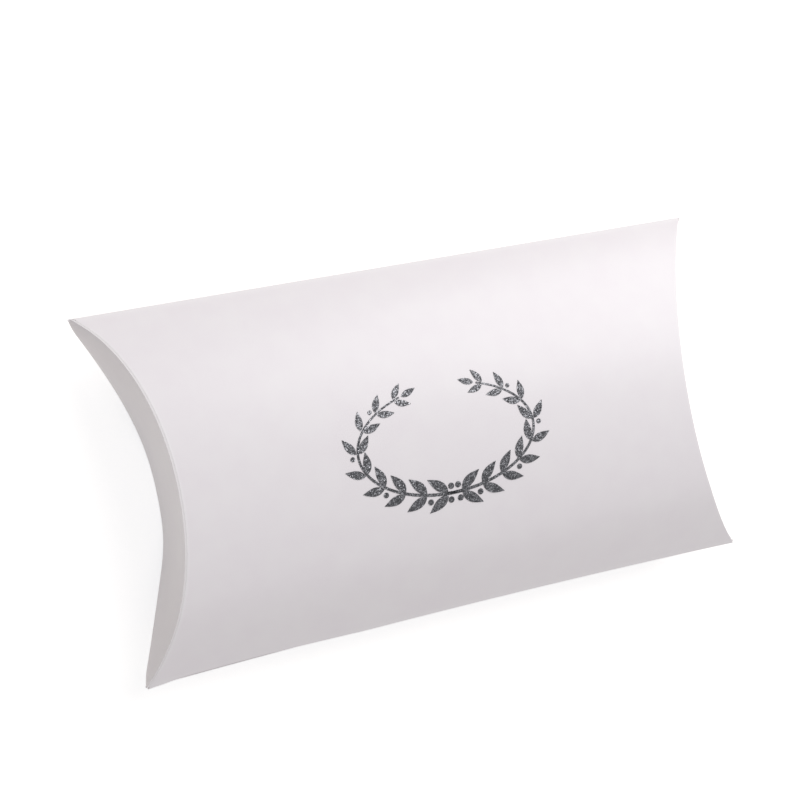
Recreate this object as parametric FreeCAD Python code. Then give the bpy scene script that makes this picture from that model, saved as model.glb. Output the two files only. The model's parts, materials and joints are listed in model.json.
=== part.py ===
import FreeCAD, Part
import math
import os

# A pillow box: one creased card sheet, bowed into a front and a back panel, glued along one long edge
# and closed at both ends by curved flaps. The box lies on the crown of its back panel, with +X along
# its length, +Y across it towards the folded long edge, and +Z up through the front panel.
# Sizes are millimetres.

os.makedirs("parts", exist_ok=True)
V = FreeCAD.Vector

# Driving dimensions
box_length = 160.0               # tip to tip along a long edge
box_width = 86.0                 # across, between the two long edges
box_depth = 28.0                 # crown of the back panel to crown of the front panel
board = 0.45                     # card thickness
score_gap = 0.15                 # slack at an end crease, between the panel and its flap
flap_air = 0.45                  # air between a closed outer flap and the sheet behind it
outer_flap_shortfall = 0.5       # the outer flap's free edge stays this far below the front face
outer_flap_tip_trim = 0.8        # blunt cut at the outer flap's tips, in from the long edges
inner_flap_reach = 13.4          # depth of an inner flap at its middle
inner_flap_edge_radius = 250.0   # arc of the inner flap's free edge
inner_flap_tip_trim = 7.0        # blunt cut at the inner flap's tips, in from the long edges
seam_step = 0.3                  # the front panel's cut edge stays this far inside the back panel's fold
glue_flap_width = 12.0           # from the seam to the glue flap's free edge
glue_flap_end_gap = 2.5          # from the glue flap's slanted ends to the inner flaps
glue_film = 0.12                 # dried adhesive between the glue flap and the front panel
glue_bead_count = 2              # parallel beads of adhesive along the seam
glue_bead_width = 2.4
glue_bead_pitch = 4.0            # from one bead to the next
glue_margin = 2.0                # from the glue flap's free edge and ends to the adhesive

# Curved-crease geometry. Each end crease is a circular arc in a plane at 45 degrees, so the panel that
# it bows and the flap that it turns in are two faces of the same oval, mirrored in that plane.
half_length = box_length / 2
half_width = box_width / 2
half_depth = box_depth / 2
crease_rise = math.sqrt(2) * half_depth
crease_radius = (half_width ** 2 + crease_rise ** 2) / (2 * crease_rise)
oval_short = crease_radius / math.sqrt(2)
oval_drop = oval_short - half_depth


def bow(y):
    """Height of a panel's face over the mid plane at y, and depth of a crease from the tips."""
    return oval_short * math.sqrt(1 - (y / crease_radius) ** 2) - oval_drop


edge_turn = math.asin(half_width / crease_radius)
edge_slope = math.atan(math.tan(edge_turn) * oval_short / crease_radius)
front_set_in = (board + flap_air) / math.cos(edge_slope)
span = 4 * box_length            # longer than any cut needs


def oval_face(centre, long_half, short_half, short_axis):
    """Oval with its long axis along Y and its short axis along the one given."""
    oval = Part.Ellipse(centre + V(0, long_half, 0), centre + short_axis * short_half, centre)
    return Part.Face(Part.Wire([oval.toShape()]))


def rectangle(corner, side_a, side_b):
    points = [corner, corner + side_a, corner + side_a + side_b, corner + side_b, corner]
    return Part.Face(Part.makePolygon(points))


def panel_oval(side, inset):
    """Section of a panel's face, at the left end. side is 1 for the front and -1 for the back."""
    centre = V(-half_length, 0, half_depth - side * oval_drop)
    return oval_face(centre, crease_radius - inset, oval_short - inset, V(0, 0, 1))


def panel_ring(side, outer_inset, inner_inset):
    return panel_oval(side, outer_inset).cut(panel_oval(side, inner_inset))


def along_box(section):
    return section.extrude(V(box_length, 0, 0))


def crease_round(end, side, set_in, growth):
    """Round bar whose skin is the crease: a panel stays outside it and its flap inside it."""
    direction = V(end, 0, side)
    direction.normalize()
    centre = V(end * (half_length - set_in + oval_drop), 0, half_depth - side * oval_drop)
    return Part.makeCylinder(crease_radius + growth, 2 * span, centre - direction * span, direction)


def panel(side, seam_limit, set_in):
    """One bowed wall. At +Y it mitres with the other wall, at -Y it stops at the face given."""
    corner = V(-half_length, 0, half_depth)
    beyond_fold = rectangle(corner, V(0, span, 0), V(0, 0, -side * span))
    seam_half = rectangle(corner + V(0, 0, -span), V(0, -span, 0), V(0, 0, 2 * span))
    section = panel_ring(side, 0, board).cut(beyond_fold).cut(seam_half.cut(seam_limit))
    wall = along_box(section)
    for end in (-1, 1):
        wall = wall.cut(crease_round(end, side, set_in, score_gap / 2))
    return wall


def flap_blank(end, side, set_in, tip_trim):
    """End flap before its free edge is cut: it turns in from the crease, bowed into the box."""
    centre = V(end * (half_length - set_in + oval_drop), 0, -box_depth)
    outside = oval_face(centre, crease_radius, oval_short, V(1, 0, 0))
    inside = oval_face(centre, crease_radius + board, oval_short + board, V(1, 0, 0))
    tip_y = half_width - tip_trim
    window = rectangle(V(0, -tip_y, -box_depth), V(end * (half_length - set_in), 0, 0), V(0, 2 * tip_y, 0))
    strip = inside.cut(outside).common(window).extrude(V(0, 0, 3 * box_depth))
    return strip.common(crease_round(end, side, set_in, -score_gap / 2))


def outer_flap(end):
    """Hinged on the back panel, and cut to the front panel's bow so that it closes the whole end."""
    return flap_blank(end, -1, 0, outer_flap_tip_trim).common(along_box(panel_oval(1, outer_flap_shortfall)))


def inner_flap(end):
    """Hinged on the front panel, and tucked behind the outer flap."""
    arc_z = box_depth - inner_flap_reach + inner_flap_edge_radius
    free_edge = Part.makeCylinder(inner_flap_edge_radius, box_length, V(-half_length, 0, arc_z), V(1, 0, 0))
    return flap_blank(end, 1, front_set_in, inner_flap_tip_trim).common(free_edge)


# Glue flap: the strip beyond the back panel's fold, lying inside the front panel
glue_free_y = glue_flap_width - half_width
flap_back_face = half_length - front_set_in - board
glue_half_fold = flap_back_face - glue_flap_end_gap
glue_half_free = flap_back_face - bow(glue_free_y) - glue_flap_end_gap


def glue_flap():
    section = panel_ring(1, board + glue_film, 2 * board + glue_film).common(panel_oval(-1, board))
    outline = Part.makePolygon([
        V(-glue_half_fold, -half_width, 0),
        V(glue_half_fold, -half_width, 0),
        V(glue_half_free, glue_free_y, 0),
        V(-glue_half_free, glue_free_y, 0),
        V(-glue_half_fold, -half_width, 0),
    ])
    return along_box(section).common(Part.Face(outline).extrude(V(0, 0, box_depth)))


def glue_beads():
    film = along_box(panel_ring(1, board, board + glue_film))
    half_run = glue_half_free - glue_margin
    beads = []
    for place in range(glue_bead_count):
        low_y = glue_free_y - glue_margin - glue_bead_width - place * glue_bead_pitch
        lane = Part.makeBox(2 * half_run, glue_bead_width, half_depth, V(-half_run, low_y, half_depth))
        beads.append(film.common(lane))
    return Part.makeCompound(beads)


pieces = {
    "front_panel": panel(1, panel_oval(-1, seam_step), front_set_in),
    "back_panel": panel(-1, panel_oval(1, board), 0),
    "glue_flap": glue_flap(),
    "glue_beads": glue_beads(),
    "left_outer_flap": outer_flap(-1),
    "right_outer_flap": outer_flap(1),
    "left_inner_flap": inner_flap(-1),
    "right_inner_flap": inner_flap(1),
}

for name, shape in pieces.items():
    solids = shape.removeSplitter().Solids
    shape = solids[0] if len(solids) == 1 else Part.makeCompound(solids)
    print(name, "solids", len(solids), "valid", shape.isValid(), "volume", round(shape.Volume, 2))
    shape.exportStep("parts/" + name + ".step")
print("crease radius", round(crease_radius, 3), "front set-in", round(front_set_in, 3))
print("edge slope", round(math.degrees(edge_slope), 2), "degrees")
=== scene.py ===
# %% [markdown]
# # A card pillow box
# One sheet of pearly card, creased on curved lines and glued along one long edge, closes into a box with
# two bowed walls. The bow of the walls and the curve of the end creases hold each other in shape. The
# frame from CAD gives the sizes. This lesson bends thin grids of card over it, so that the folds get
# round noses, the seam its small step and the front its foil print.

# %% Load the frame
import bisect
import json
import math

import bmesh
import bpy
from mathutils import Matrix, Vector


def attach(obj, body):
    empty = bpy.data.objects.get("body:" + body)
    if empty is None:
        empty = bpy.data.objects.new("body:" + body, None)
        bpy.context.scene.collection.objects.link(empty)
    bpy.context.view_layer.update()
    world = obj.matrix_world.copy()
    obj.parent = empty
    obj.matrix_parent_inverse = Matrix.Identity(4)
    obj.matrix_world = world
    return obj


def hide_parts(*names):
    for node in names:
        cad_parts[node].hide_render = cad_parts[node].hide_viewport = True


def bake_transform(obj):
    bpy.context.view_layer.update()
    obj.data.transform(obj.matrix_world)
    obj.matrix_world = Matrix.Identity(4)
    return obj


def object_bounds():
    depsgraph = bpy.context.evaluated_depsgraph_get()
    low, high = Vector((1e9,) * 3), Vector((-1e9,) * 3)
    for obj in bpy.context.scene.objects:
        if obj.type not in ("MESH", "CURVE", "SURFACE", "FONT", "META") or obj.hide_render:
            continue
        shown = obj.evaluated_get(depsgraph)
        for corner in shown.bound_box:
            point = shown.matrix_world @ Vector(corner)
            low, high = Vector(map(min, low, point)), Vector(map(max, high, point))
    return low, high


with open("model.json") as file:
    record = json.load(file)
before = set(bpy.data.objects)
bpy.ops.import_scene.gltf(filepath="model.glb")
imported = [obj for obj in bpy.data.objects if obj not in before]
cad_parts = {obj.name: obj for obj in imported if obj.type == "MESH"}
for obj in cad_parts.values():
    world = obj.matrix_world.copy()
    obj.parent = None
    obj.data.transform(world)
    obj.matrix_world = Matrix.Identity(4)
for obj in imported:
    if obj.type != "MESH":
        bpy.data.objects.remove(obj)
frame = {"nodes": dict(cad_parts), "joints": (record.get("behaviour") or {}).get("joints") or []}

cad_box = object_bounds()
print("CAD nodes", sorted(frame["nodes"]))

# %% [markdown]
# The sizes come from the frame, so the card follows the CAD if its dimensions change. The walls' crowns
# give the depth, the long fold gives the width, and the hinges sit at the middle of the end creases, one
# half depth in from the tips. Everything below is worked out in millimetres.

# %% Sizes
MM = 0.001
hinge_x = {joint["name"]: joint["pos_m"][0] / MM for joint in frame["joints"]}
half_width = cad_box[1].y / MM
half_depth = cad_box[1].z / MM / 2
half_length = hinge_x["right_outer_fold"] + half_depth
set_in = hinge_x["right_outer_fold"] - hinge_x["right_inner_fold"]
BOARD = 0.45
half_sizes = (half_length, half_width, half_depth)
print("half sizes in mm", [round(size, 2) for size in half_sizes], "set in", round(set_in, 3))

# %% [markdown]
# Flat card can only bend one way at a time. Folded on a circular arc that leans at 45 degrees, a wall
# must bow as an oval: the arc's radius is the oval's long half, and the short half is that over the root
# of two. A mesh could be cut from a cylinder, but a formula for the height at each place across the box
# serves every piece, because the walls, the flaps and the print all follow the same bow.

# %% The bow of a wall
crease_rise = math.sqrt(2) * half_depth
crease_radius = (half_width ** 2 + crease_rise ** 2) / (2 * crease_rise)
oval_short = crease_radius / math.sqrt(2)
oval_drop = oval_short - half_depth


def bow(y):
    """Height of a wall's face over the box's middle plane, at y across the box."""
    return oval_short * math.sqrt(1 - (y / crease_radius) ** 2) - oval_drop


def lean(y):
    """Angle between a wall's face and the middle plane, at y across the box."""
    return math.atan(oval_short * y / (crease_radius * math.sqrt(crease_radius ** 2 - y ** 2)))


print("crease radius", round(crease_radius, 2), "mm")
print("height at a quarter of the width", round(bow(half_width / 2), 2), "mm")

# %% [markdown]
# A long fold isn't a knife edge. Scored card turns on a nose about as round as the card is thick, so near
# the edge the section leaves the oval and goes round an arc that touches it. At the glued seam the fold
# is tucked in by the card that lies over it, so the same arc sits a little further in and lower. The glue
# flap doubles the card along the seam and makes it stiff, so there the front wall bows less and runs
# almost straight to its edge. The rows of the grid crowd towards the long edges, where the section turns
# fastest.

# %% The section across the box
FOLD_START = 0.4
BOW_SHARE = 0.9
EDGE_CROWDING = 1.3
fold_y = half_width - FOLD_START
fold_lean = lean(fold_y)
fold_radius = bow(fold_y) / math.cos(fold_lean)
GLUE_FILM = 0.12
seam_tuck = (BOARD + GLUE_FILM) / (2 * math.sin(fold_lean))
STIFF_START_Y = 25.0
STIFF_DROP = 3.2


def section(t, tuck):
    """Distance across and height of a wall's face. t runs from -1 to 1, the long folds' noses included."""
    start_y = fold_y - tuck
    reach = abs(t) / BOW_SHARE
    if reach <= 1:
        crowded = 1 - (1 - reach) ** EDGE_CROWDING
        y = crease_radius * math.sin(crowded * math.asin(start_y / crease_radius))
        return math.copysign(y, t), bow(y)
    angle = fold_lean + (math.pi / 2 - fold_lean) * (reach - 1) / (1 / BOW_SHARE - 1)
    y = start_y + fold_radius * (math.sin(angle) - math.sin(fold_lean))
    height = bow(start_y) + fold_radius * (math.cos(angle) - math.cos(fold_lean))
    return math.copysign(y, t), height


def stiff_drop(y):
    """How far the front wall lies below its bow near the seam, where the glue flap stiffens it."""
    share = max(0.0, -y - STIFF_START_Y) / (half_width - STIFF_START_Y)
    return STIFF_DROP * share ** 2 * max(0.0, 1 - share)


def front_bow(y):
    """Height of the front wall's face, with its stiff strip along the seam."""
    return bow(y) - stiff_drop(y)


def front_section(t):
    y, height = section(t, 0)
    return y, height - stiff_drop(y)


def back_section(t):
    return section(t, seam_tuck if t < 0 else 0)


print("fold nose radius", round(fold_radius, 2), "mm, seam tucked in", round(seam_tuck, 2), "mm")

# %% [markdown]
# The glued edge of a hand-closed box is never dead straight: it is drawn in a little near the middle and
# spreads towards the corners, and the other long edge stands out by a hair. One small shift, faded out
# towards the crown, moves every piece alike, so nothing that touches comes apart.

# %% The long edges of a hand-closed box
SEAM_OUT = 0.05
SEAM_SPREAD = 1.2
SEAM_MIDDLE_X = 3.0
SPINE_OUT = 0.25
EDGE_FADE_Y = 12.0


def settle(point):
    """Moves a point of the sheet, in mm, as the long edge on its side pulls it."""
    share = max(0.0, (abs(point.y) - EDGE_FADE_Y) / (half_width - EDGE_FADE_Y))
    along = (point.x - SEAM_MIDDLE_X) / half_length
    pull = SPINE_OUT if point.y > 0 else -SEAM_OUT - SEAM_SPREAD * along ** 2
    return Vector((point.x, point.y + pull * share ** 2, point.z))


left_corner = settle(Vector((-half_length, -half_width, 0)))
print("seam shift at the left corner", round(left_corner.y + half_width, 2), "mm")

# %% [markdown]
# Each area of the sheet starts as a flat grid. A bend moves its vertices onto the box, and solidify gives
# it the card's thickness, inwards. The skin made first is the coated face, the new one is the plain
# inside and the strips that join them are the die-cut edge, so three finishes are told apart by what made
# them. Two numbers ride on each vertex: score, for wear along a crease, and turn, for how far a flap's
# motion carries it. A sharp crease would fold solidify's inner skin over itself, so a creased piece
# brings a second bend that says where its inner skin lies.

# %% Bending a grid of card
COATED, PLAIN, CUT = 0, 1, 2
WELD = 0.001
SHARP_ANGLE = math.radians(40)


def turn_outward(sheet, outward):
    """Turns a sheet over if its coated faces look away from outward."""
    sheet.normal_update()
    coated = [face for face in sheet.faces if face.material_index == COATED]
    facing = sum((face.normal * face.calc_area() for face in coated), Vector())
    if facing.dot(outward) < 0:
        bmesh.ops.reverse_faces(sheet, faces=sheet.faces)


def bent_card(name, columns, rows, bend, outward, thickness, inner_bend=None):
    """Bends a grid by bend(s, t), which gives a point in mm, its score and its turn, and thickens it."""
    sheet = bmesh.new()
    score = sheet.verts.layers.float.new("score")
    turn = sheet.verts.layers.float.new("turn")
    flat = sheet.verts.layers.float_vector.new("flat")
    bmesh.ops.create_grid(sheet, x_segments=columns, y_segments=rows, size=1)
    for vert in sheet.verts:
        vert[flat] = vert.co
        point, vert[score], vert[turn] = bend(vert.co.x, vert.co.y)
        vert.co = settle(point) * MM
    turn_outward(sheet, outward)
    skin = set(sheet.verts)
    bmesh.ops.solidify(sheet, geom=sheet.faces[:], thickness=thickness * MM)
    for face in sheet.faces:
        on_skin = sum(vert in skin for vert in face.verts)
        face.material_index = COATED if on_skin == len(face.verts) else PLAIN if on_skin == 0 else CUT
    if inner_bend:
        inner = [vert for vert in sheet.verts if vert not in skin]
        for vert in inner:
            point, vert[score], vert[turn] = inner_bend(vert[flat].x, vert[flat].y)
            vert.co = settle(point) * MM
        bmesh.ops.remove_doubles(sheet, verts=inner, dist=WELD * MM)
    sheet.verts.layers.float_vector.remove(flat)
    bmesh.ops.recalc_face_normals(sheet, faces=sheet.faces)
    turn_outward(sheet, outward)
    return as_piece(name, sheet)


def as_piece(name, sheet):
    """Makes an object of a bmesh, smooth apart from its sharp edges."""
    mesh = bpy.data.meshes.new(name)
    sheet.to_mesh(mesh)
    sheet.free()
    mesh.shade_smooth()
    mesh.set_sharp_from_angle(angle=SHARP_ANGLE)
    piece = bpy.data.objects.new(name, mesh)
    bpy.context.scene.collection.objects.link(piece)
    print("made", name, "faces", len(mesh.polygons))
    return piece


# %% [markdown]
# The end creases. The front wall's crease is the leaning arc of the CAD, drawn in a little at the left
# end and eased out at the right, as the bend of real card leaves it. The back wall's crease is set
# further out by one flap, and is a little straighter than a true arc: the shut flap pushes it out towards
# the corners. The corners themselves are nipped blunt. The left end was shut a little askew, with a
# thumb's dent beside the middle.

# %% End creases
FRONT_EASE_LEFT = -0.25
FRONT_EASE_RIGHT = 0.5
TIP_EASE_LEFT = 0.9
TIP_START = 0.8
LEFT_DIP = 0.4
LEFT_DRAW = 0.6
# Between the middle and a corner, share ** 2 - share ** 4 rises to a quarter.
HUMP_PEAK = 0.25
CREASE_SWELL = 5.5
CREASE_RETURN = 4.8
CORNER_NIP = 0.9
NIP_START = 0.9
LEFT_SKEW = 0.9
DENT_IN = 0.7
DENT_Y = -13.0
DENT_WIDE = 9.0


def front_crease(end, y, height):
    """Distance of the front wall's crease from the middle of the box. end is 1 at +X and -1 at -X."""
    share = abs(y) / half_width
    tip = max(0.0, y / half_width - TIP_START) / (1 - TIP_START)
    drawn = LEFT_DRAW * (share ** 2 - share ** 4) / HUMP_PEAK
    ease = FRONT_EASE_LEFT + TIP_EASE_LEFT * tip ** 2 - drawn if end < 0 else FRONT_EASE_RIGHT
    return half_length - set_in - height - stiff_drop(y) + ease


def back_crease(end, y, height):
    """The same for the back wall's crease, as a shut flap leaves it."""
    share = abs(y) / half_width
    swell = CREASE_SWELL * share ** 2 - CREASE_RETURN * share ** 4
    nip = CORNER_NIP * (max(0.0, share - NIP_START) / (1 - NIP_START)) ** 2
    dent = LEFT_DIP + DENT_IN * math.exp(-((y - DENT_Y) / DENT_WIDE) ** 2)
    askew = math.copysign(LEFT_SKEW * share ** 2, y) - dent if end < 0 else 0.0
    return half_length - height + swell - nip + askew


print("front crease at the middle", round(front_crease(1, 0, half_depth), 2))
print("back crease at the middle", [round(back_crease(end, 0, half_depth), 2) for end in (-1, 1)])

# %% [markdown]
# The two walls. They stop just short of the end creases, because the rounded crease itself has to bend
# when a flap opens, and so belongs to the flap's piece. On the front wall that strip narrows to a hair at
# the corners, where the inner flap ends. The front wall's lower edge is a raw cut edge that lies over the
# seam. It was not cut quite straight, so along one stretch at the left the fold under it shows.

# %% Front and back walls
CREASE_MARGIN = 0.8
CORNER_MARGIN = 0.13
RIGHT_CORNER_MARGIN = 0.5
MARGIN_END_Y = 42.0
MARGIN_FADE_Y = 5.0
RIGHT_TIP_ROWS = 1
WALL_COLUMNS = 48
ROWS_PER_HALF = 30
SCORE_WIDTH = 0.9
SEAM_STEP = 0.7
SEAM_STEP_FADE = 4.0
BARE_START, BARE_RISE = -77.0, 8.0
BARE_END, BARE_FALL = -24.0, 26.0


def front_margin(y):
    """Width of the front wall's strip that belongs to the inner flap's piece."""
    fade = min(1.0, max(0.0, (MARGIN_END_Y - abs(y)) / MARGIN_FADE_Y))
    return CORNER_MARGIN + (CREASE_MARGIN - CORNER_MARGIN) * fade


def back_margin(y):
    """The same for the back wall, where the outer flap's strip keeps its width."""
    return CREASE_MARGIN


bow_rows = round(ROWS_PER_HALF * BOW_SHARE)


def outer_tip_rows(end):
    """How many rows the outer flap stops short of the corners."""
    return 0 if end < 0 else RIGHT_TIP_ROWS


def fold_score(y):
    """Wear of the coating near a long fold."""
    return math.exp(-((half_width - abs(y)) / SCORE_WIDTH) ** 2)


def bend_front(s, t):
    """Bend of the front wall, s along the box and t from the cut edge to the long fold."""
    across = -BOW_SHARE + (t + 1) / 2 * (1 + BOW_SHARE)
    y, height = front_section(across)
    x = s * (front_crease(s, y, height) - front_margin(y))
    bare = min(1.0, max(0.0, (x - BARE_START) / BARE_RISE), max(0.0, (BARE_END - x) / BARE_FALL))
    y += SEAM_STEP * bare * max(0.0, (-y - fold_y + SEAM_STEP_FADE) / SEAM_STEP_FADE)
    height = front_bow(y) if y < 0 else height
    return Vector((x, y, half_depth + height)), fold_score(y), 0.0


def bend_back(s, t):
    """Bend of the back wall, s along the box and t from the seam's fold to the other one."""
    y, height = back_section(t)
    row = abs(t) * ROWS_PER_HALF
    corner_margin = CORNER_MARGIN if s < 0 else RIGHT_CORNER_MARGIN
    margin = back_margin(y) if round(row) <= bow_rows - outer_tip_rows(s) else corner_margin
    x = s * (back_crease(s, y, height) - margin)
    return Vector((x, y, half_depth - height)), fold_score(y), 0.0


front_rows = round(ROWS_PER_HALF * (1 + BOW_SHARE))
back_rows = 2 * ROWS_PER_HALF
upward = Vector((0, 0, 1))
front_wall = bent_card("front_panel_card", WALL_COLUMNS, front_rows, bend_front, upward, BOARD)
back_wall = bent_card("back_panel_card", WALL_COLUMNS, back_rows, bend_back, -upward, BOARD)

# %% [markdown]
# The glue flap is the strip of the back wall's sheet beyond the seam's fold. It turns up inside the front
# wall and stops short at both ends, where the end flaps need room. Two dried beads of glue lie between
# them. Both follow the front wall's bow, sunk by the card and the glue above them.

# %% Glue flap and its glue
GLUE_FLAP_WIDTH = 12.0
SLOPE_STEP = 0.05
GLUE_END_GAP = 3.0
BEAD_WIDTH = 2.4
BEAD_PITCH = 4.0
BEAD_MARGIN = 2.0
GLUE_ROWS = 8
glue_free_y = GLUE_FLAP_WIDTH - half_width
glue_fold_y = seam_tuck - fold_y


def under_front(x, y, depth):
    """A point below the front wall's face at y, depth mm in along the face's own normal."""
    slope = (front_bow(y - SLOPE_STEP) - front_bow(y + SLOPE_STEP)) / (2 * SLOPE_STEP)
    inward = Vector((0, -slope, -1)).normalized()
    return Vector((x, y, half_depth + front_bow(y))) + inward * depth


def bend_glue_flap(s, t):
    """Bend of the glue flap, s along the box and t from the seam's fold to its free edge."""
    y = glue_fold_y + (glue_free_y - glue_fold_y) * (t + 1) / 2
    x = s * (front_crease(s, y, front_bow(y)) - GLUE_END_GAP)
    point = under_front(x, y, BOARD + GLUE_FILM)
    return point, 0.0, 0.0


def bend_bead(low_y):
    """Bend of the bead whose lower side is at low_y, with round ends."""
    def bend(s, t):
        y = low_y + BEAD_WIDTH * (t + 1) / 2
        round_end = 1 - t ** 2
        half_run = front_crease(s, low_y, front_bow(low_y)) - GLUE_END_GAP - BEAD_MARGIN + round_end
        return under_front(s * half_run, y, BOARD), 0.0, 0.0
    return bend


to_seam = Vector((0, -1, 1))
glue_flap = bent_card("glue_flap_card", WALL_COLUMNS, GLUE_ROWS, bend_glue_flap, to_seam, BOARD)
beads = []
for lane, name in enumerate(("glue_bead_upper", "glue_bead_lower")):
    low_y = glue_free_y - BEAD_MARGIN - BEAD_WIDTH - lane * BEAD_PITCH
    beads.append(bent_card(name, WALL_COLUMNS, GLUE_ROWS, bend_bead(low_y), to_seam, GLUE_FILM))

# %% [markdown]
# An end flap leaves its wall round the crease's nose and runs straight up or down to its free edge, so
# one bend serves all four. At each place across the box the flap is measured from the crease: below zero
# it is still on the wall, round zero it is on the nose, and beyond it is on the flap. Each of the three
# keeps its own columns of the grid, so the crease runs smooth however long the flap is beside it. The
# inner skin runs one board further in, and its two legs stop where they meet, in the crease's inside
# corner. Each place also gets its turn: the share of the hinge's motion that lays it in line with the
# wall when the flap is open.

# %% Bending an end flap
CREASE_NOSE = 0.1
WALL_STRIP_COLUMNS = 4
NOSE_COLUMNS = 10
FLAP_COLUMNS = 22
CREASE_SCORE_WIDTH = 0.45
REST_CURVE = 1.5
grid_columns = WALL_STRIP_COLUMNS + NOSE_COLUMNS + FLAP_COLUMNS


def past_crease(share, margin, length):
    """Distance past the crease at a share of the grid's columns, margin before it to length after it."""
    column = share * grid_columns
    if column <= WALL_STRIP_COLUMNS:
        return (margin - CREASE_NOSE) * column / WALL_STRIP_COLUMNS - margin
    on_nose = (column - WALL_STRIP_COLUMNS) / NOSE_COLUMNS
    if on_nose <= 1:
        return CREASE_NOSE * (2 * on_nose - 1)
    on_flap = (column - WALL_STRIP_COLUMNS - NOSE_COLUMNS) / FLAP_COLUMNS
    return CREASE_NOSE + (length - CREASE_NOSE) * on_flap


def crease_turn(past, out, low, crease_low):
    """Share of the flap's motion at a place out from the hinge and low under it, which leaves the place as
    low as its crease is, so that the open flap goes straight on from the wall."""
    on_nose = min(1.0, max(0.0, (past + CREASE_NOSE) / (2 * CREASE_NOSE)))
    away = max(CREASE_NOSE, math.hypot(out, low))
    swing = math.atan2(low, out) - math.asin(min(1.0, crease_low / away))
    return on_nose * min(1.0, max(0.0, swing / (math.pi / 2)))


def round_crease(past):
    """Distance out from the crease and in from the wall's face, going round the crease's nose."""
    if past <= -CREASE_NOSE:
        return past, 0.0
    if past >= CREASE_NOSE:
        return 0.0, past
    angle = (past / CREASE_NOSE + 1) * math.pi / 4
    return CREASE_NOSE * (math.sin(angle) - 1), CREASE_NOSE * (1 - math.cos(angle))


def bend_flap(end, side, hinge, tip_rows, wall_section, crease, margin, free_edge, rest_in):
    """Bends of a flap's outer and inner skin. side is 1 for a flap on the front wall, and hinge its hinge's
    distance from the middle of the box. tip_rows is how many rows it stops short of the corners, free_edge
    gives its length and rest_in how far that edge leans in."""
    reach = BOW_SHARE * (1 - tip_rows / bow_rows)

    def measure(s, t):
        y, height = wall_section(t * reach)
        length = free_edge(end, y, height)
        return y, height, length, past_crease((s + 1) / 2, margin(y), length)

    def folded(y, height, length, out, drop):
        drawn_in = rest_in(end, y, height) * (drop / length) ** REST_CURVE
        x = end * (crease(end, y, height) + out - drawn_in)
        return Vector((x, y, half_depth + side * (height - drop)))

    def outer_skin(s, t):
        y, height, length, past = measure(s, t)
        out, drop = round_crease(past)
        point = folded(y, height, length, out, drop)
        crease_low = half_depth - height
        turn = crease_turn(past, end * point.x - hinge, crease_low + drop, crease_low)
        return point, math.exp(-(past / CREASE_SCORE_WIDTH) ** 2), turn

    def inner_skin(s, t):
        y, height, length, past = measure(s, t)
        out, drop = round_crease(past)
        deep = BOARD / math.cos(lean(y))
        in_corner = out > -deep and drop < deep
        point = folded(y, height, length, min(out, -deep), max(drop, deep))
        return point, 0.0, 0.0 if in_corner else outer_skin(s, t)[2]

    return outer_skin, inner_skin


# %% [markdown]
# The outer flaps hang on the back wall and close the whole end: the free edge is cut to the front wall's
# bow and leans in until it rests against the front crease. Shut by hand, the left one stands flush with
# the front wall and the right one a little lower. The inner flaps hang on the front wall and are shorter,
# with a plain arc for an edge, and sit behind the outer ones. A narrow lip carries their crease on to the
# corners, so that no gap shows over a low outer flap.

# %% The four end flaps
LEFT_SHORTFALL = 0.0
RIGHT_SHORTFALL = 1.4
LEAST_LENGTH = 0.65
REST_AIR = 0.01
INNER_LIP = 0.7
DEEP_LIP = 1.9
LIP_CLEAR = 0.7
INNER_TIP_ROWS = 1
INNER_REACH = 13.4
INNER_TIP_Y = 36.0
inner_tip_drop = half_depth + bow(INNER_TIP_Y) - (2 * half_depth - INNER_REACH)


def outer_edge(end, y, height):
    """Length up to the front wall's bow, less what the flap of that end lacks."""
    shortfall = LEFT_SHORTFALL if end < 0 else RIGHT_SHORTFALL
    return max(LEAST_LENGTH, 2 * height - stiff_drop(y) - shortfall)


def outer_rest(end, y, height):
    """The way in to the front crease, less the flap's own thickness."""
    way = back_crease(end, y, height) - front_crease(end, y, height - stiff_drop(y))
    return way - BOARD / math.cos(lean(y)) - REST_AIR


def inner_edge(end, y, height):
    """Length down to the arc, or that of the lip at the corners, which stays clear of the back wall."""
    edge_height = half_depth - INNER_REACH + inner_tip_drop * (y / INNER_TIP_Y) ** 2
    lip = max(INNER_LIP, min(DEEP_LIP, height + bow(y) - LIP_CLEAR))
    return max(lip, height - edge_height)


def inner_rest(end, y, height):
    """An inner flap hangs straight from its crease, and leans in nowhere."""
    return 0.0


flap_ways = {
    "outer": (back_section, back_crease, back_margin, outer_edge, outer_rest),
    "inner": (front_section, front_crease, front_margin, inner_edge, inner_rest),
}
flaps = {}
for end, end_name in ((-1, "left"), (1, "right")):
    for kind, side, tip_rows in (("outer", -1, outer_tip_rows(end)), ("inner", 1, INNER_TIP_ROWS)):
        hinge = abs(hinge_x[end_name + "_" + kind + "_fold"])
        outer_skin, inner_skin = bend_flap(end, side, hinge, tip_rows, *flap_ways[kind])
        name = end_name + "_" + kind + "_flap_card"
        rows = 2 * (bow_rows - tip_rows)
        outward = Vector((end, 0, side))
        flaps[end_name, kind] = bent_card(name, grid_columns, rows, outer_skin, outward, BOARD, inner_skin)

# %% [markdown]
# The print is dark glitter foil, stamped a hair proud of the card. The design here is a plain oval
# wreath: two stems rise from the foot, with pairs of leaves and round berries. Leaf and stem are the same
# shape to a maker, a strip with a centre line and a width that changes along it, so one function draws
# both flat, and a last step lays everything over the bow.

# %% Drawing a strip of foil
FOIL_PROUD = 0.1
FOIL_SUNK = 0.03
HEADING_STEP = 0.01


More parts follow.
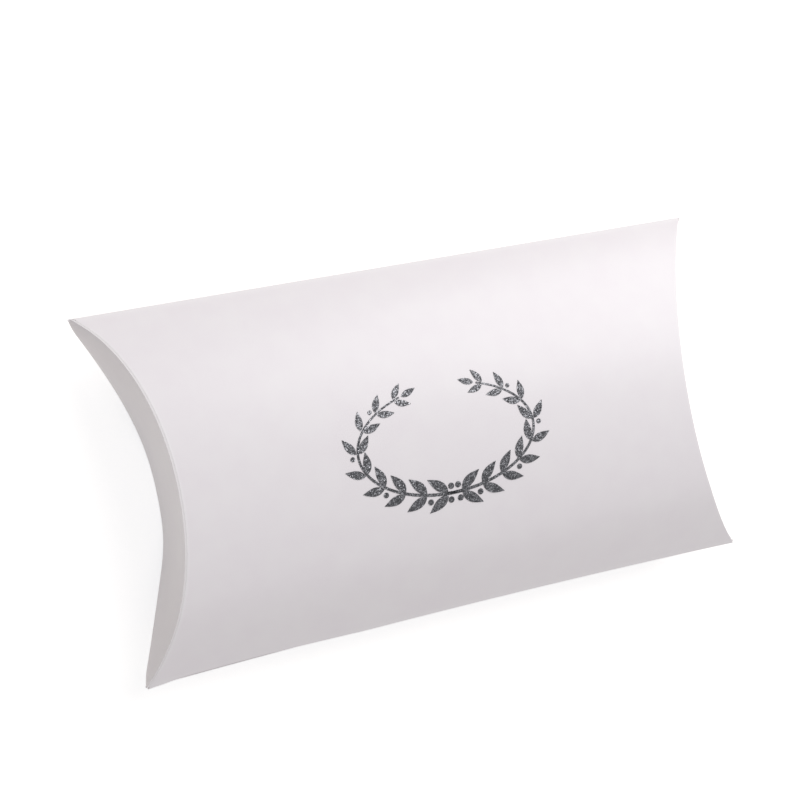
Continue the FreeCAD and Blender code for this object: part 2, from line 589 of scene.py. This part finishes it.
def foil_strip(print_mesh, steps, line, half_wide):
    """Adds a flat strip along line(u), half_wide(u) to each side, for u from 0 to 1, in mm."""
    made = bmesh.ops.create_grid(print_mesh, x_segments=steps, y_segments=2, size=1)
    for vert in made["verts"]:
        u = (vert.co.x + 1) / 2
        behind, ahead = line(u - HEADING_STEP), line(u + HEADING_STEP)
        along = (ahead - behind).normalized()
        side = Vector((-along.y, along.x))
        point = line(u) + side * vert.co.y * half_wide(u)
        vert.co = (point.x, point.y, 0)


print("foil stands proud by", FOIL_PROUD, "mm")

# %% [markdown]
# The wreath's stems follow an oval. A place at a share of the angle would crowd the leaves where the oval
# turns sharply, so the stem is measured along its arc, in short steps, and the leaves come out evenly
# spaced. The stem grows thinner towards its tip.

# %% The wreath's stem
WREATH_HALF = Vector((22.5, 13.0))
STEM_FOOT = math.radians(-96)
STEM_TIP = math.radians(64)
STEM_STEPS = 400
STEM_HALF_WIDE = 0.32
STEM_FOOT_SCALE = 1.25
STEM_TAPER = 0.6


def on_oval(angle):
    return Vector((WREATH_HALF.x * math.cos(angle), WREATH_HALF.y * math.sin(angle)))


stem_angles = [STEM_FOOT + (STEM_TIP - STEM_FOOT) * step / STEM_STEPS for step in range(STEM_STEPS + 1)]
stem_lengths = [0.0]
for before, after in zip(stem_angles, stem_angles[1:]):
    stem_lengths.append(stem_lengths[-1] + (on_oval(after) - on_oval(before)).length)


def stem_line(u):
    """Point of the stem at the share u of its length, straight on beyond its ends."""
    wanted = u * stem_lengths[-1]
    step = min(STEM_STEPS - 1, max(0, bisect.bisect(stem_lengths, wanted) - 1))
    part = (wanted - stem_lengths[step]) / (stem_lengths[step + 1] - stem_lengths[step])
    return on_oval(stem_angles[step]).lerp(on_oval(stem_angles[step + 1]), part)


def stem_heading(u):
    return (stem_line(u + HEADING_STEP) - stem_line(u - HEADING_STEP)).normalized()


def stem_half_wide(u):
    return STEM_HALF_WIDE * (STEM_FOOT_SCALE - STEM_TAPER * u)


print("stem length", round(stem_lengths[-1], 1), "mm")

# %% [markdown]
# A leaf is a strip that swells from its root and tapers to its tip, and curves a little towards the stem.
# A berry is a small disc. Each is drawn where it grows, so that one function of each serves the whole
# wreath.

# %% A leaf and a berry
LEAF_LONG = 6.2
LEAF_HALF_WIDE = 1.2
LEAF_SWELL = 0.8
LEAF_CURL = 0.45
LEAF_CLEAR = 0.6
LEAF_SEGMENTS = 10
BERRY_RADIUS = 0.75
BERRY_SEGMENTS = 20


def turned(vector, angle):
    return Matrix.Rotation(angle, 2) @ vector


def draw_leaf(print_mesh, root, heading, bend_side, size):
    """Draws a leaf from its root along heading. bend_side is 1 for a leaf on the stem's left."""
    start = root + heading * LEAF_CLEAR
    side = Vector((-heading.y, heading.x)) * bend_side

    def line(u):
        return start + heading * (LEAF_LONG * size * u) - side * (LEAF_CURL * size * u * u)

    def half_wide(u):
        return LEAF_HALF_WIDE * size * math.sin(math.pi * min(1.0, max(0.0, u)) ** LEAF_SWELL)

    foil_strip(print_mesh, LEAF_SEGMENTS, line, half_wide)


def draw_berry(print_mesh, centre, size):
    spot = Matrix.Translation((centre.x, centre.y, 0))
    radius = BERRY_RADIUS * size
    bmesh.ops.create_circle(print_mesh, cap_ends=True, segments=BERRY_SEGMENTS, radius=radius, matrix=spot)


print("leaf", LEAF_LONG, "by", 2 * LEAF_HALF_WIDE, "mm, berry", 2 * BERRY_RADIUS, "mm")

# %% [markdown]
# Now the wreath is put together. Leaves leave the stem in pairs and grow smaller towards the tip, a berry
# sits in every other gap, and more hang at the foot. Both halves are alike, so only the right one is
# drawn and then mirrored.

# %% The wreath
LEAF_PAIRS = 9
FIRST_PAIR = 0.075
PAIRS_SPAN = 0.885
LEAF_SPREAD = math.radians(40)
LEAF_SHRINK = 0.35
BERRY_TURN = math.radians(-110)
BERRY_OUT = 1.9
FOOT_BERRIES = (Vector((1.2, -14.6)), Vector((0.9, -11.3)))
STEM_SEGMENTS = 60
FOIL_MERGE = 0.02
wreath_mesh = bmesh.new()
foil_strip(wreath_mesh, STEM_SEGMENTS, stem_line, stem_half_wide)
for pair in range(LEAF_PAIRS):
    u = FIRST_PAIR + PAIRS_SPAN * pair / (LEAF_PAIRS - 1)
    size = 1 - LEAF_SHRINK * pair / (LEAF_PAIRS - 1)
    for bend_side in (-1, 1):
        heading = turned(stem_heading(u), bend_side * LEAF_SPREAD)
        draw_leaf(wreath_mesh, stem_line(u), heading, bend_side, size)
    if pair % 2 == 1:
        berry_way = turned(stem_heading(u), BERRY_TURN)
        draw_berry(wreath_mesh, stem_line(u) + berry_way * BERRY_OUT * size, size)
for foot_berry in FOOT_BERRIES:
    draw_berry(wreath_mesh, foot_berry, 1.0)
draw_leaf(wreath_mesh, stem_line(1), stem_heading(1), 1, 1 - LEAF_SHRINK)
bmesh.ops.remove_doubles(wreath_mesh, verts=wreath_mesh.verts, dist=FOIL_MERGE)
right_half = wreath_mesh.faces[:] + wreath_mesh.edges[:] + wreath_mesh.verts[:]
bmesh.ops.mirror(wreath_mesh, geom=right_half, axis="X", merge_dist=0.0)
print("wreath faces drawn flat", len(wreath_mesh.faces))

# %% [markdown]
# The flat wreath is laid over the bow by lifting each vertex to the front wall's height, a hair proud of
# it. Mirroring turned half of the faces over, so they are turned back first. Solidify then sinks the
# foil's underside a little into the card, so that no light shows under it.

# %% Laying the wreath over the bow
wreath_mesh.normal_update()
bmesh.ops.reverse_faces(wreath_mesh, faces=[face for face in wreath_mesh.faces if face.normal.z < 0])
for vert in wreath_mesh.verts:
    on_bow = Vector((vert.co.x, vert.co.y, half_depth + bow(vert.co.y) + FOIL_PROUD))
    vert.co = settle(on_bow) * MM
wreath_mesh.normal_update()
bmesh.ops.solidify(wreath_mesh, geom=wreath_mesh.faces[:], thickness=(FOIL_PROUD + FOIL_SUNK) * MM)
bmesh.ops.recalc_face_normals(wreath_mesh, faces=wreath_mesh.faces)
wreath = as_piece("leaf_wreath_foil", wreath_mesh)
print("wreath size in mm", [round(side / MM, 1) for side in wreath.dimensions])

# %% [markdown]
# Materials. Colours are written as they look, in sRGB hex, and one function turns them to the linear
# values that Blender works in. One more adds a node with its settings and links, so that a material reads
# as a list of what feeds what.

# %% Colour and node helpers
def linear(code):
    """Linear colour of an sRGB hex code."""
    shares = [int(code[i:i + 2], 16) / 255 for i in (1, 3, 5)]
    return [v / 12.92 if v <= 0.04045 else ((v + 0.055) / 1.055) ** 2.4 for v in shares] + [1.0]


def add_node(tree, kind, inputs=None, **settings):
    """Adds a node. Settings are its own properties, and each input is given a socket or a value."""
    node = tree.nodes.new("ShaderNode" + kind)
    for name, value in settings.items():
        setattr(node, name, value)
    for name, value in (inputs or {}).items():
        if isinstance(value, bpy.types.NodeSocket):
            tree.links.new(value, node.inputs[name])
        else:
            node.inputs[name].default_value = value
    return node


def new_material(name):
    """Makes a material, and gives it with its node tree and its main shader."""
    material = bpy.data.materials.new(name)
    material.use_nodes = True
    return material, material.node_tree, material.node_tree.nodes["Principled BSDF"]


print("pearl in linear light", [round(v, 3) for v in linear("#F1ECEF")])

# %% [markdown]
# Pearl-coated card: white board with a thin varnish full of mica, which gives a soft satin gloss and a
# faint lilac cast. Close up the mica clouds the tone over a few millimetres and the board's tooth lifts
# the surface by a few microns. Where a crease was scored, the coating is stretched and turns paler and
# duller.

# %% Pearl-coated card
MICA_CLOUD_MM = 7.0
# The real tooth is about 0.1 mm, too fine to show here, so it is drawn coarser.
TOOTH_MM = 0.35
pearl, tree, shader = new_material("pearl_coated_card")
place = add_node(tree, "TexCoord").outputs["Object"]
cloud = add_node(tree, "TexNoise", {"Vector": place, "Scale": 1 / (MICA_CLOUD_MM * MM), "Detail": 3.0})
tooth = add_node(tree, "TexNoise", {"Vector": place, "Scale": 1 / (TOOTH_MM * MM), "Detail": 2.0})
tone = add_node(tree, "ValToRGB", {"Fac": cloud.outputs["Fac"]})
tone.color_ramp.elements[0].position = 0.3
tone.color_ramp.elements[0].color = linear("#EFE9ED")
tone.color_ramp.elements[1].position = 0.7
tone.color_ramp.elements[1].color = linear("#F1ECEF")
wear = add_node(tree, "Attribute", attribute_name="score")
worn = add_node(tree, "Math", {0: wear.outputs["Fac"], 1: tooth.outputs["Fac"]}, operation="MULTIPLY")
colour = add_node(tree, "Mix", {"Factor": worn.outputs[0], 6: tone.outputs["Color"], 7: linear("#F8F6F7")},
                  data_type="RGBA")
gloss = add_node(tree, "MapRange", {"Value": wear.outputs["Fac"], "To Min": 0.5, "To Max": 0.62})
lift = add_node(tree, "Bump", {"Height": tooth.outputs["Fac"], "Strength": 0.12, "Distance": 0.02 * MM})
tree.links.new(colour.outputs[2], shader.inputs["Base Color"])
tree.links.new(gloss.outputs["Result"], shader.inputs["Roughness"])
tree.links.new(lift.outputs["Normal"], shader.inputs["Normal"])
shader.inputs["IOR"].default_value = 1.52
shader.inputs["Coat Weight"].default_value = 0.4
shader.inputs["Coat Roughness"].default_value = 0.27
print("pearl card nodes", len(tree.nodes))

# %% [markdown]
# The plain inside is uncoated pulp board: matt, slightly warmer, with short fibres that lie along the
# sheet. Fibres could be drawn one by one, but noise that is stretched along the box gives the same look.

# %% Uncoated inside
# Real fibres are a few hundredths of a millimetre wide, too fine to show, so they are drawn coarser.
FIBRE_MM = 0.5
FIBRE_STRETCH = (0.2, 1.0, 1.0)
inside, tree, shader = new_material("uncoated_board_inside")
place = add_node(tree, "TexCoord").outputs["Object"]
laid = add_node(tree, "Mapping", {"Vector": place, "Scale": FIBRE_STRETCH})
fibre = add_node(tree, "TexNoise", {"Vector": laid.outputs["Vector"], "Scale": 1 / (FIBRE_MM * MM),
                                    "Detail": 4.0})
tone = add_node(tree, "ValToRGB", {"Fac": fibre.outputs["Fac"]})
tone.color_ramp.elements[0].position = 0.35
tone.color_ramp.elements[0].color = linear("#E6E2DC")
tone.color_ramp.elements[1].position = 0.7
tone.color_ramp.elements[1].color = linear("#F2EFEA")
lift = add_node(tree, "Bump", {"Height": fibre.outputs["Fac"], "Strength": 0.25, "Distance": 0.02 * MM})
tree.links.new(tone.outputs["Color"], shader.inputs["Base Color"])
tree.links.new(lift.outputs["Normal"], shader.inputs["Normal"])
shader.inputs["Roughness"].default_value = 0.88
shader.inputs["IOR"].default_value = 1.5
print("inside nodes", len(tree.nodes))

# %% [markdown]
# The die-cut edge shows the board's middle: rough, pale and uneven, since board is pressed from several
# thin plies and the knife tears their fibres. A fine noise as wide as one ply gives that.

# %% Die-cut edge
PLY_MM = 0.12
edge, tree, shader = new_material("die_cut_board_edge")
place = add_node(tree, "TexCoord").outputs["Object"]
plies = add_node(tree, "TexNoise", {"Vector": place, "Scale": 1 / (PLY_MM * MM), "Detail": 3.0})
tone = add_node(tree, "ValToRGB", {"Fac": plies.outputs["Fac"]})
tone.color_ramp.elements[0].position = 0.35
tone.color_ramp.elements[0].color = linear("#E6E2E4")
tone.color_ramp.elements[1].position = 0.65
tone.color_ramp.elements[1].color = linear("#F0ECEE")
tree.links.new(tone.outputs["Color"], shader.inputs["Base Color"])
shader.inputs["Roughness"].default_value = 0.92
print("edge nodes", len(tree.nodes))

# %% [markdown]
# Dried white glue is a slightly yellow, glossy skin that holds small bubbles. The cells of a Voronoi
# pattern are about as round as bubbles are, and darken towards their rims.

# %% Dried white glue
BUBBLE_MM = 0.6
glue, tree, shader = new_material("dried_white_glue")
place = add_node(tree, "TexCoord").outputs["Object"]
bubbles = add_node(tree, "TexVoronoi", {"Vector": place, "Scale": 1 / (BUBBLE_MM * MM)})
tone = add_node(tree, "ValToRGB", {"Fac": bubbles.outputs["Distance"]})
tone.color_ramp.elements[0].color = linear("#F0EBD8")
tone.color_ramp.elements[1].color = linear("#E2DBC2")
tree.links.new(tone.outputs["Color"], shader.inputs["Base Color"])
shader.inputs["Roughness"].default_value = 0.35
shader.inputs["IOR"].default_value = 1.47
print("glue nodes", len(tree.nodes))

# %% [markdown]
# Glitter foil is a dark resin film packed with metal flakes a fifth of a millimetre wide. Each flake is
# its own small mirror, tilted its own way, so some flash while the rest look almost black. A Voronoi cell
# stands for a flake, and the cell's random colour gives its tilt and also its grey, which is partly
# painted glint: some flakes are painted light, as if they flashed, and the rest dark.

# %% Dark glitter foil
FLAKE_MM = 0.22
FLAKE_TILT = 0.55
foil, tree, shader = new_material("dark_glitter_foil")
place = add_node(tree, "TexCoord").outputs["Object"]
flakes = add_node(tree, "TexVoronoi", {"Vector": place, "Scale": 1 / (FLAKE_MM * MM)})
# Each flake's grey is partly painted glint: the ramp paints some flakes light, as if they flashed, and the
# rest dark.
flake_grey_and_glint = add_node(tree, "SeparateColor", {"Color": flakes.outputs["Color"]})
tone = add_node(tree, "ValToRGB", {"Fac": flake_grey_and_glint.outputs["Red"]})
tone.color_ramp.elements[0].color = linear("#4C4C50")
tone.color_ramp.elements[1].color = linear("#B0B0B5")
middle = tone.color_ramp.elements.new(0.7)
middle.color = linear("#6E6E72")
face = add_node(tree, "NewGeometry").outputs["Normal"]
around = add_node(tree, "VectorMath", {0: flakes.outputs["Color"], 1: (0.5, 0.5, 0.5)},
                  operation="SUBTRACT")
tilt = add_node(tree, "VectorMath", {0: around.outputs["Vector"], "Scale": FLAKE_TILT}, operation="SCALE")
facet = add_node(tree, "VectorMath", {0: face, 1: tilt.outputs["Vector"]}, operation="ADD")
facet_unit = add_node(tree, "VectorMath", {0: facet.outputs["Vector"]}, operation="NORMALIZE")
tree.links.new(tone.outputs["Color"], shader.inputs["Base Color"])
tree.links.new(facet_unit.outputs["Vector"], shader.inputs["Normal"])
shader.inputs["Metallic"].default_value = 0.6
shader.inputs["Roughness"].default_value = 0.34
print("foil nodes", len(tree.nodes))

# %% [markdown]
# Now each piece gets its finish, and the walls and the print ride on the sleeve. A flap can't swing as a
# stiff plate, because its curved crease would tear off the wall. The turn worked out with its bend says how
# much of the motion each place takes: none on the wall, all at the middle of the free edge, and on the way
# the flap flattens and ends as a straight continuation of the bowed wall.

# %% Finishes and motion
card_finishes = (pearl, inside, edge)


def finish_piece(piece, materials, slot, *nodes):
    """Gives a piece its materials and hides the CAD nodes that it stands for. slot is not used."""
    for material in materials:
        piece.data.materials.append(material)
    if nodes:
        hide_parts(*nodes)


for piece, node in ((front_wall, "front_panel"), (back_wall, "back_panel"), (glue_flap, "glue_flap")):
    finish_piece(piece, card_finishes, "pearl_card", node)
    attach(piece, "sleeve")
# A bead has a skin, an underside and rims as the card does, all of glue.
for bead in beads:
    finish_piece(bead, (glue, glue, glue), "adhesive", "glue_beads")
    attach(bead, "sleeve")
finish_piece(wreath, (foil,), "glitter_foil")
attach(wreath, "sleeve")

# Each flap keeps its own turn on its vertices, and its place is baked into its mesh.
for (end_name, kind), flap in flaps.items():
    finish_piece(flap, card_finishes, "pearl_card", end_name + "_" + kind + "_flap")
    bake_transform(flap)

# %% [markdown]
# The studio. The floor is white to the camera and to reflections, and an ordinary pale matt floor to the
# light, so it keeps the box's soft shadow. A sheet of white paper under more lamps would do the same, but
# it would light the box too. An even sky lights every side.

# %% Floor
FLOOR_HALF = 1.5
FLOOR_SEGMENTS = 8
FLOOR_GLOW = 0.67
floor_mesh = bmesh.new()
bmesh.ops.create_grid(floor_mesh, x_segments=FLOOR_SEGMENTS, y_segments=FLOOR_SEGMENTS, size=FLOOR_HALF)
floor = as_piece("studio_floor", floor_mesh)
paper, tree, shader = new_material("white_backdrop_paper")
ray = add_node(tree, "LightPath")
seen = add_node(tree, "Math", {0: ray.outputs["Is Camera Ray"], 1: ray.outputs["Is Glossy Ray"]},
                operation="MAXIMUM")
glow = add_node(tree, "Math", {0: seen.outputs[0], 1: FLOOR_GLOW}, operation="MULTIPLY")
tree.links.new(glow.outputs[0], shader.inputs["Emission Strength"])
shader.inputs["Emission Color"].default_value = linear("#F7FAFF")
shader.inputs["Base Color"].default_value = linear("#DAD4CC")
shader.inputs["Roughness"].default_value = 0.95
shader.inputs["Specular IOR Level"].default_value = 0.0
floor.data.materials.append(paper)
print("floor spans", 2 * FLOOR_HALF, "m")

# %% [markdown]
# The sky stands for the white walls of a studio. The camera sees it as white, and the box gets only as
# much light from it as leaves the lamps something to shape.

# %% Sky
SKY_STRENGTH = 0.47
sky = bpy.data.worlds.new("studio_sky")
bpy.context.scene.world = sky
sky.use_nodes = True
tree = sky.node_tree
ray = add_node(tree, "LightPath")
level = add_node(tree, "MapRange", {"Value": ray.outputs["Is Camera Ray"], "To Min": SKY_STRENGTH,
                                    "To Max": 1.0})
background = tree.nodes["Background"]
tree.links.new(level.outputs["Result"], background.inputs["Strength"])
background.inputs["Color"].default_value = linear("#FFFFFF")
print("sky strength", SKY_STRENGTH)

# %% [markdown]
# Two round soft lamps, as a small product studio has them. The large one stands up and to the right,
# where the card's satin sheen catches it, and a weak one opens the shade at the lower left. Both look at
# the box.

# %% Lamps
def soft_lamp(name, place, size, power):
    """Adds a round lamp, size m across, that looks at the box."""
    lamp = bpy.data.lights.new(name, "AREA")
    lamp.shape = "DISK"
    lamp.size = size
    lamp.energy = power
    stand = bpy.data.objects.new(name, lamp)
    stand.location = place
    stand.rotation_mode = "QUATERNION"
    stand.rotation_quaternion = (-Vector(place)).to_track_quat("-Z", "Y")
    bpy.context.scene.collection.objects.link(stand)
    return stand


key = soft_lamp("key_softbox", place=(0.56, 0.49, 0.69), size=0.9, power=6.8)
fill = soft_lamp("fill_softbox", place=(-0.35, -0.60, 0.50), size=0.6, power=0.36)
print("lamp distances", round(key.location.length, 2), round(fill.location.length, 2), "m")

# %% [markdown]
# The camera stands over the left end and looks down at the crown. Its place, aim and lens come from
# matching the box's own corners and creases to the photograph, 800 pixels square. An aim and an up
# direction set its turn without working out angles.

# %% Camera
CAMERA_PLACE = Vector((-121.9, 29.4, 360.2))
CAMERA_AIM = Vector((0.31888, -0.05208, -0.94636))
CAMERA_UP = Vector((0.18433, 0.98283, 0.00803))
CAMERA_SENSOR = 36.0
CAMERA_LENS = 67.44
CAMERA_NEAR = 0.01
camera = bpy.data.objects.new("camera", bpy.data.cameras.new("camera"))
camera.data.sensor_width = CAMERA_SENSOR
camera.data.lens = CAMERA_LENS
right = CAMERA_AIM.cross(CAMERA_UP).normalized()
up = right.cross(CAMERA_AIM).normalized()
camera.location = CAMERA_PLACE * MM
camera.rotation_mode = "QUATERNION"
camera.rotation_quaternion = Matrix((right, up, -CAMERA_AIM)).transposed().to_quaternion()
camera.data.clip_start = CAMERA_NEAR
bpy.context.scene.collection.objects.link(camera)
bpy.context.scene.camera = camera
bpy.context.scene.view_settings.view_transform = "Standard"
print("camera height", round(camera.location.z, 3), "m")

# %% Update the scene
bpy.context.view_layer.update()
